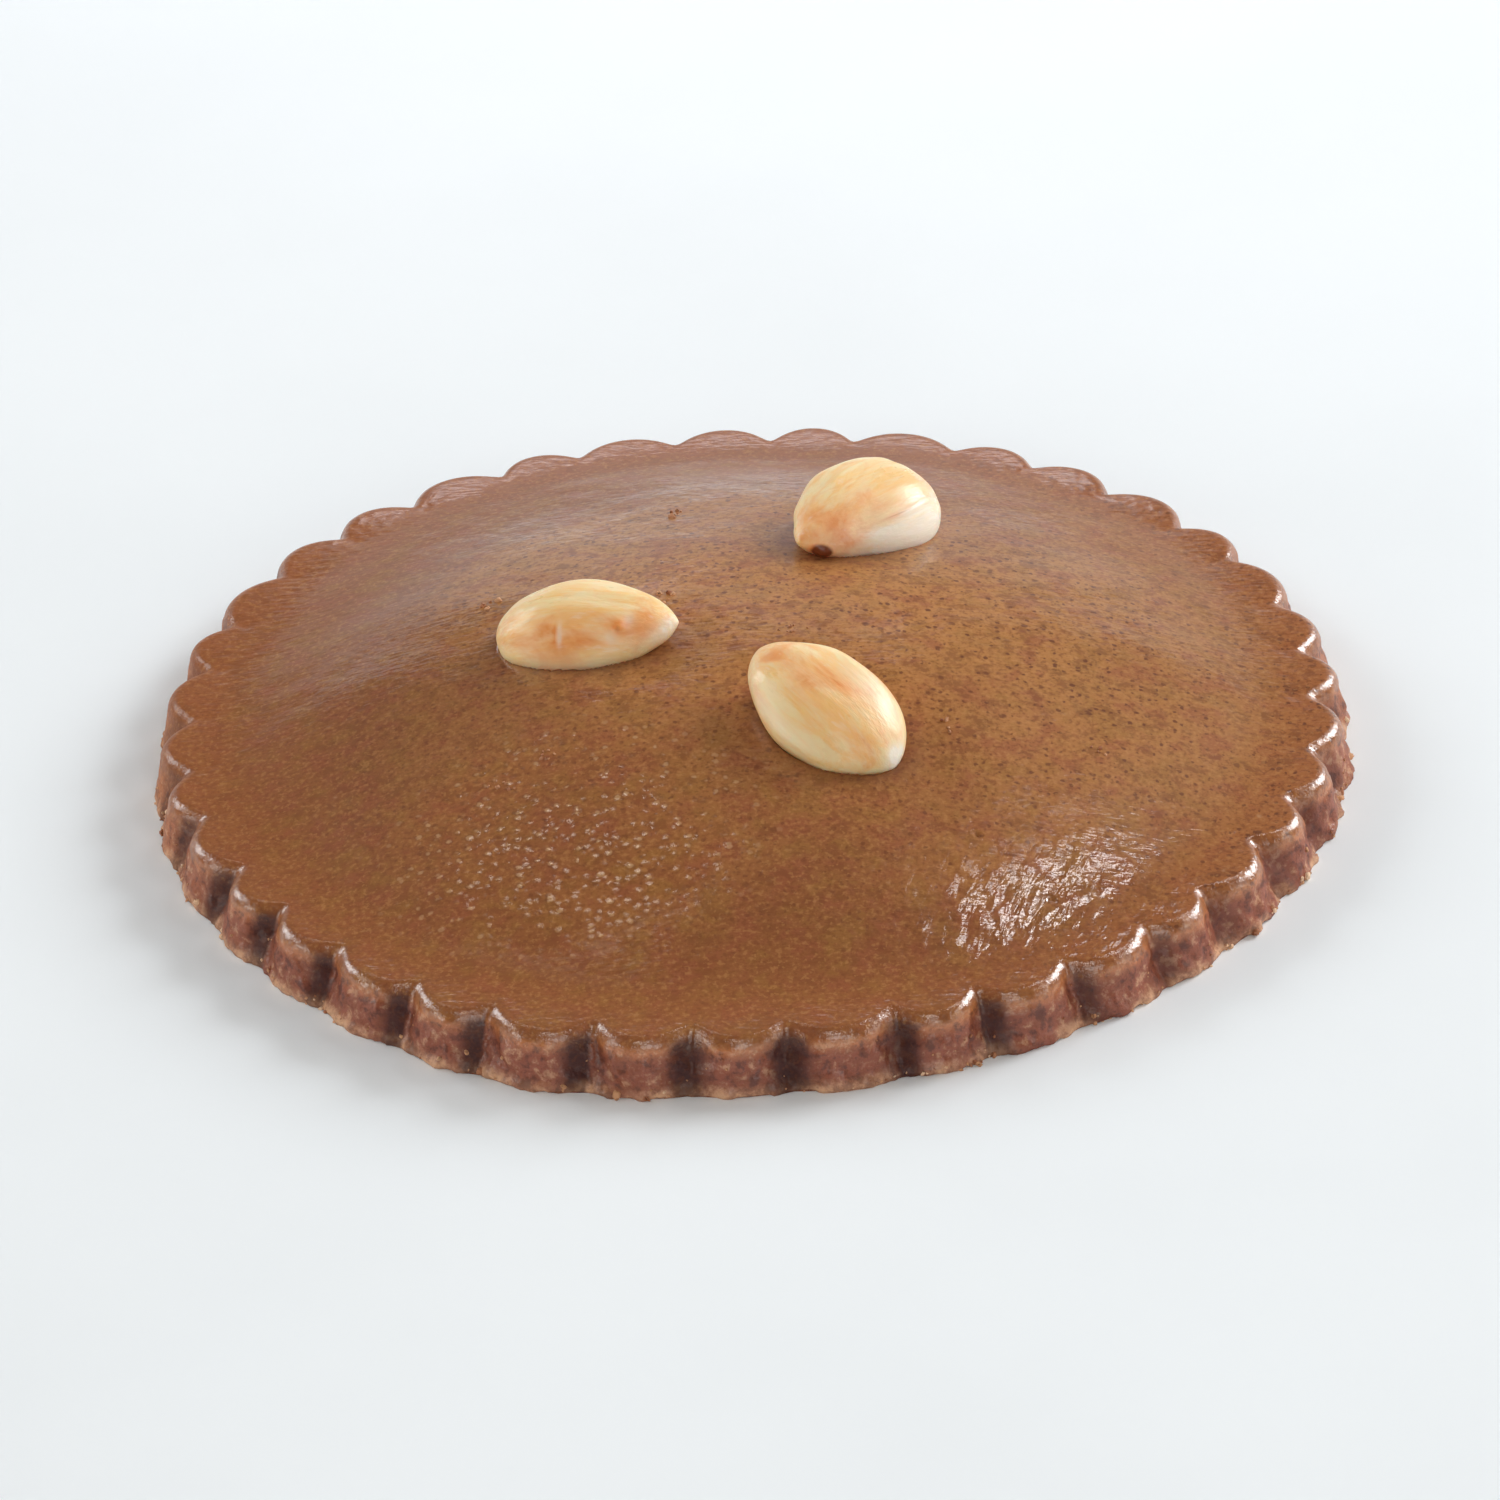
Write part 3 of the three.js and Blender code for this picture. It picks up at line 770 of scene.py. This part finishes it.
# One almond: an ellipse along its outline, with ridges along it and a bell for each of its marks.
def makeAlmond(name, shape, material):
    r = almondRelief
    t, turn, quads, fans = ballGrid(r["stations"], r["sides"])
    outline = almondOutline(shape, t)
    half = almondHalf(shape)
    across = outline * np.cos(turn) * half[0] + shape["bend"] * (1 - t ** 2)
    local = np.column_stack([across, t * half[1], outline * np.sin(turn) * half[2]])
    toast = np.zeros(len(t))
    pale = np.zeros(len(t))
    relief = r["ridge"] * ripple(local * np.array([1, r["ridgeDraw"], 1]), r["ridgeSize"], shape["seed"])
    relief += r["lump"] * ripple(local, r["lumpSize"], shape["seed"] + r["lumpSeed"])
    girth = np.maximum(outline * (half[0] + half[2]) / 2, r["leastGirth"])
    for mark in shape["marks"]:
        lengthways = (t - mark["along"]) * half[1] / mark["size"][0]
        swing = np.angle(np.exp(1j * (turn - np.radians(mark["turn"]))))
        share = bell(np.hypot(lengthways, swing * girth / mark["size"][1]), 1)
        relief -= mark["deep"] * share
        toast += mark["toast"] * share
        pale += mark["pale"] * share
    middle, axes = almondFrame(shape)
    attributes = dict(grain=local * mm, toast=toast, pale=pale)
    almond = makePiece(name, middle + local @ axes.T, quads, fans, attributes, material)
    pushOut(almond, relief * (1 - np.abs(t) ** r["endFade"]))
    return almond


# Loose crumbs, each a lumpy little ball sunk partly into the wall's foot, the wall or the lid

crumbLook = dict(
    cream=(238, 204, 170), tan=(208, 154, 112), brown=(160, 98, 64), roughness=0.7, grainSize=0.25,
    grainDepth=0.05, stations=7, sides=10, seed=31, lumpy=(0.7, 1.25), drawn=(0.5, 1.2),
    footCount=260, footSize=(0.12, 0.45), wallCount=90, wallSize=(0.1, 0.26), lidCount=48,
    lidSize=(0.14, 0.38), sideRadius=54, lidAbove=6.5, clusterSize=9, clusterSeed=51, lidReach=0.9,
    paleBelow=1.6,
    lidPlaces=((-6.8, 30.0), (4.3, 0.3), (-8.3, 8.8), (-25.4, 12.6), (-23.0, 0.6), (18.6, -15.0),
               (-19.9, -16.7), (-24.6, -19.3), (32.9, -16.0)))


def crumbMaterial():
    look = crumbLook
    sheet = NodeSheet("crumb")
    shade = sheet.attribute("shade")
    colour = sheet.tint(sheet.ease(shade, 0.0, 0.5), tone(look["brown"]), look["tan"])
    colour = sheet.tint(sheet.ease(shade, 0.5, 1.0), colour, look["cream"])
    rough = sheet.bump(sheet.noise(look["grainSize"], 3), look["grainDepth"])
    return sheet.finish(Base_Color=colour, Roughness=look["roughness"], Normal=rough)


# All crumbs in one mesh: balls drawn out along three axes at random, lumpy, turned at random and set on
# points picked from the case by how likely a crumb is there.
def makeCrumbs(case):
    look = crumbLook
    rng = np.random.default_rng(look["seed"])
    points = pointsOf(case) / mm
    flat = points[:, :2]
    height = points[:, 2]
    outside = np.hypot(points[:, 0], points[:, 1]) > look["sideRadius"]
    cluster = easeStep(ripple(flat, look["clusterSize"], look["clusterSeed"]), -0.4, 1.2)
    near = np.min([np.hypot(*(flat - place).T) for place in look["lidPlaces"]], axis=0)
    weights = dict(
        foot=outside * bell(height - 0.5, 0.5) * (0.15 + cluster),
        wall=outside * bell(height - 2.4, 1.3) * (0.1 + cluster),
        lid=(height > look["lidAbove"]) * bell(near, look["lidReach"]))
    picked, size = [], []
    for kind, weight in weights.items():
        count = look[kind + "Count"]
        least, most = look[kind + "Size"]
        picked.append(rng.choice(len(points), count, replace=False, p=weight / weight.sum()))
        size.append(rng.uniform(0, 1, count) ** 3 * (most - least) + least)
    centre = points[np.concatenate(picked)]
    size = np.concatenate(size)
    count = len(size)

    t, turn, quads, fans = ballGrid(look["stations"], look["sides"])
    outline = np.sqrt(np.clip(1 - t ** 2, 0, None))
    ball = np.column_stack([outline * np.cos(turn), t, outline * np.sin(turn)])
    uneven = rng.uniform(*look["lumpy"], (count, len(ball), 1))
    lumpy = ball * uneven * rng.uniform(*look["drawn"], (count, 1, 3))
    spin = np.linalg.qr(rng.normal(size=(count, 3, 3)))[0]
    spin *= np.sign(np.linalg.det(spin))[:, None, None]
    turned = np.einsum("cij,cpj->cpi", spin, lumpy) * size[:, None, None] + centre[:, None]
    turned[..., 2] = np.maximum(turned[..., 2], 0)
    first = (np.arange(count) * len(ball))[:, None, None]
    shade = rng.uniform(0, 1, count) * (0.6 + 0.4 * (centre[:, 2] < look["paleBelow"]))
    return makePiece(
        "crumbs", turned.reshape(-1, 3), (quads + first).reshape(-1, 4), (fans + first).reshape(-1, 3),
        dict(shade=np.repeat(shade, len(ball))), crumbMaterial())


cookie = makeCookie()
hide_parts("cookie")
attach(cookie, "root")
print("cookie case made")

crumbs = makeCrumbs(cookie)
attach(crumbs, "root")
print("crumbs made")

almondSkin = almondMaterial()
for node, shape in almondShapes.items():
    almond = makeAlmond(node.replace("almond_", "blanchedAlmond_"), shape, almondSkin)
    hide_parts(node)
    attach(almond, "root")
print("almonds made")


# Stage: a plain pale floor, soft lights and the camera, in metres

stageLook = dict(
    floorSide=8.0, floorTone=(244, 250, 254), floorDarker=3, floorPatch=60, floorRoughness=0.75,
    worldTone=(0.94, 0.97, 1.0), worldStrength=0.02, lampTarget=(0, 0, 0.01),
    viewElevation=31.3, viewRoll=2.56, viewDistance=1.25, pixelsPerMetre=10311.7, frameSide=1500,
    rimHeight=0.006, rimPixel=(754.5, 720.6), sensor=36.0, clip=(0.05, 50))

# Glints on the lid, light from behind and from the sides, and soft light from the front
lampSet = dict(
    glintRight=dict(
        at=(0.206, 0.219, 0.462), size=(0.11, 0.05), radiance=11.5, roll=82, tint=(1.0, 0.97, 0.97)),
    glintLeft=dict(
        at=(-0.111, 0.253, 0.462), size=(0.12, 0.06), radiance=3.6, roll=115, tint=(1.0, 0.88, 0.76)),
    backRight=dict(at=(1.626, 1.138, 0.964), size=(1.0, 1.0), radiance=12.7, roll=0, tint=(0.97, 0.99, 1.0)),
    backLeft=dict(at=(-1.626, 1.138, 0.964), size=(1.0, 1.0), radiance=5.8, roll=0, tint=(0.97, 0.99, 1.0)),
    sideLeft=dict(at=(-0.998, -0.363, 0.285), size=(0.45, 0.45), radiance=3.6, roll=0, tint=(1.0, 0.96, 0.9)),
    sideRight=dict(at=(0.998, -0.363, 0.285), size=(0.45, 0.45), radiance=2.2, roll=0, tint=(1.0, 0.96, 0.9)),
    cornerLeft=dict(at=(-0.87, 0.044, 0.67), size=(0.32, 0.32), radiance=2.4, roll=0, tint=(1.0, 0.93, 0.86)),
    cornerRight=dict(at=(0.87, 0.044, 0.67), size=(0.36, 0.36), radiance=2.8, roll=0, tint=(1.0, 0.93, 0.86)),
    crown=dict(at=(0.0, -0.57, 0.94), size=(0.42, 0.3), radiance=4.0, roll=0, tint=(1.0, 0.93, 0.86)),
    front=dict(at=(0.15, -1.05, 0.42), size=(0.68, 0.54), radiance=2.6, roll=0, tint=(1.0, 0.97, 0.94)),
    backCard=dict(at=(0.03, 0.27, 0.06), size=(0.54, 0.10), radiance=0.5, roll=0, tint=(0.95, 0.97, 1.0)),
    backGlow=dict(at=(0.0, 0.27, 0.145), size=(0.1, 0.05), radiance=2.6, roll=0, tint=(0.96, 0.95, 1.0)))


def floorMaterial():
    sheet = NodeSheet("paleFloor")
    shade = sheet.ease(sheet.noise(stageLook["floorPatch"], 3), 0.3, 0.7)
    pale = np.array(stageLook["floorTone"])
    colour = sheet.tint(shade, tone(pale), pale - stageLook["floorDarker"])
    return sheet.finish(Base_Color=colour, Roughness=stageLook["floorRoughness"])


def makeFloor():
    half = stageLook["floorSide"] / 2 / mm
    corners = np.array([[-half, -half, 0], [half, -half, 0], [half, half, 0], [-half, half, 0]])
    quad = np.array([[0, 1, 2, 3]])
    floor = makePiece("floor", corners, quad, np.empty((0, 3), int), {}, floorMaterial())


# Soft lamps, each facing the cookie and rolled about that line; power is radiance times pi times area.
def makeLamps():
    for label, lamp in lampSet.items():
        data = bpy.data.lights.new(label, "AREA")
        data.shape = "RECTANGLE"
        data.size, data.size_y = lamp["size"]
        data.energy = lamp["radiance"] * np.pi * data.size * data.size_y
        data.color = lamp["tint"]
        light = bpy.data.objects.new(label, data)
        light.location = lamp["at"]
        facing = (light.location - Vector(stageLook["lampTarget"])).to_track_quat("Z", "Y").to_matrix()
        light.rotation_euler = (facing @ Matrix.Rotation(np.radians(lamp["roll"]), 3, "Z")).to_euler()
        bpy.context.scene.collection.objects.link(light)


def makeWorld():
    world = bpy.data.worlds.new("studio")
    bpy.context.scene.world = world
    world.use_nodes = True
    backdrop = world.node_tree.nodes["Background"]
    backdrop.inputs["Color"].default_value = (*stageLook["worldTone"], 1)
    backdrop.inputs["Strength"].default_value = stageLook["worldStrength"]


# Camera on the photograph's line of sight, rolled as it was, and moved in its own plane so that the
# middle of the rim falls on its pixel.
def makeCamera():
    s = stageLook
    elevation, roll = np.radians(s["viewElevation"]), np.radians(s["viewRoll"])
    right = Vector((1, 0, 0))
    up = Vector((0, np.sin(elevation), np.cos(elevation)))
    back = Vector((0, -np.cos(elevation), np.sin(elevation)))
    cameraRight = right * np.cos(roll) - up * np.sin(roll)
    cameraUp = right * np.sin(roll) + up * np.cos(roll)
    offRight = (s["rimPixel"][0] - s["frameSide"] / 2) / s["pixelsPerMetre"]
    offUp = (s["frameSide"] / 2 - s["rimPixel"][1]) / s["pixelsPerMetre"]
    data = bpy.data.cameras.new("camera")
    data.sensor_width = s["sensor"]
    data.lens = s["sensor"] * s["pixelsPerMetre"] * s["viewDistance"] / s["frameSide"]
    data.clip_start, data.clip_end = s["clip"]
    camera = bpy.data.objects.new("camera", data)
    camera.rotation_euler = Matrix((cameraRight, cameraUp, back)).transposed().to_euler()
    aim = Vector((0, 0, s["rimHeight"])) - cameraRight * offRight - cameraUp * offUp
    camera.location = aim + back * s["viewDistance"]
    bpy.context.scene.collection.objects.link(camera)
    bpy.context.scene.camera = camera


makeFloor()
makeLamps()
makeWorld()
makeCamera()
bpy.context.scene.view_settings.view_transform = "Standard"
print("stage made")
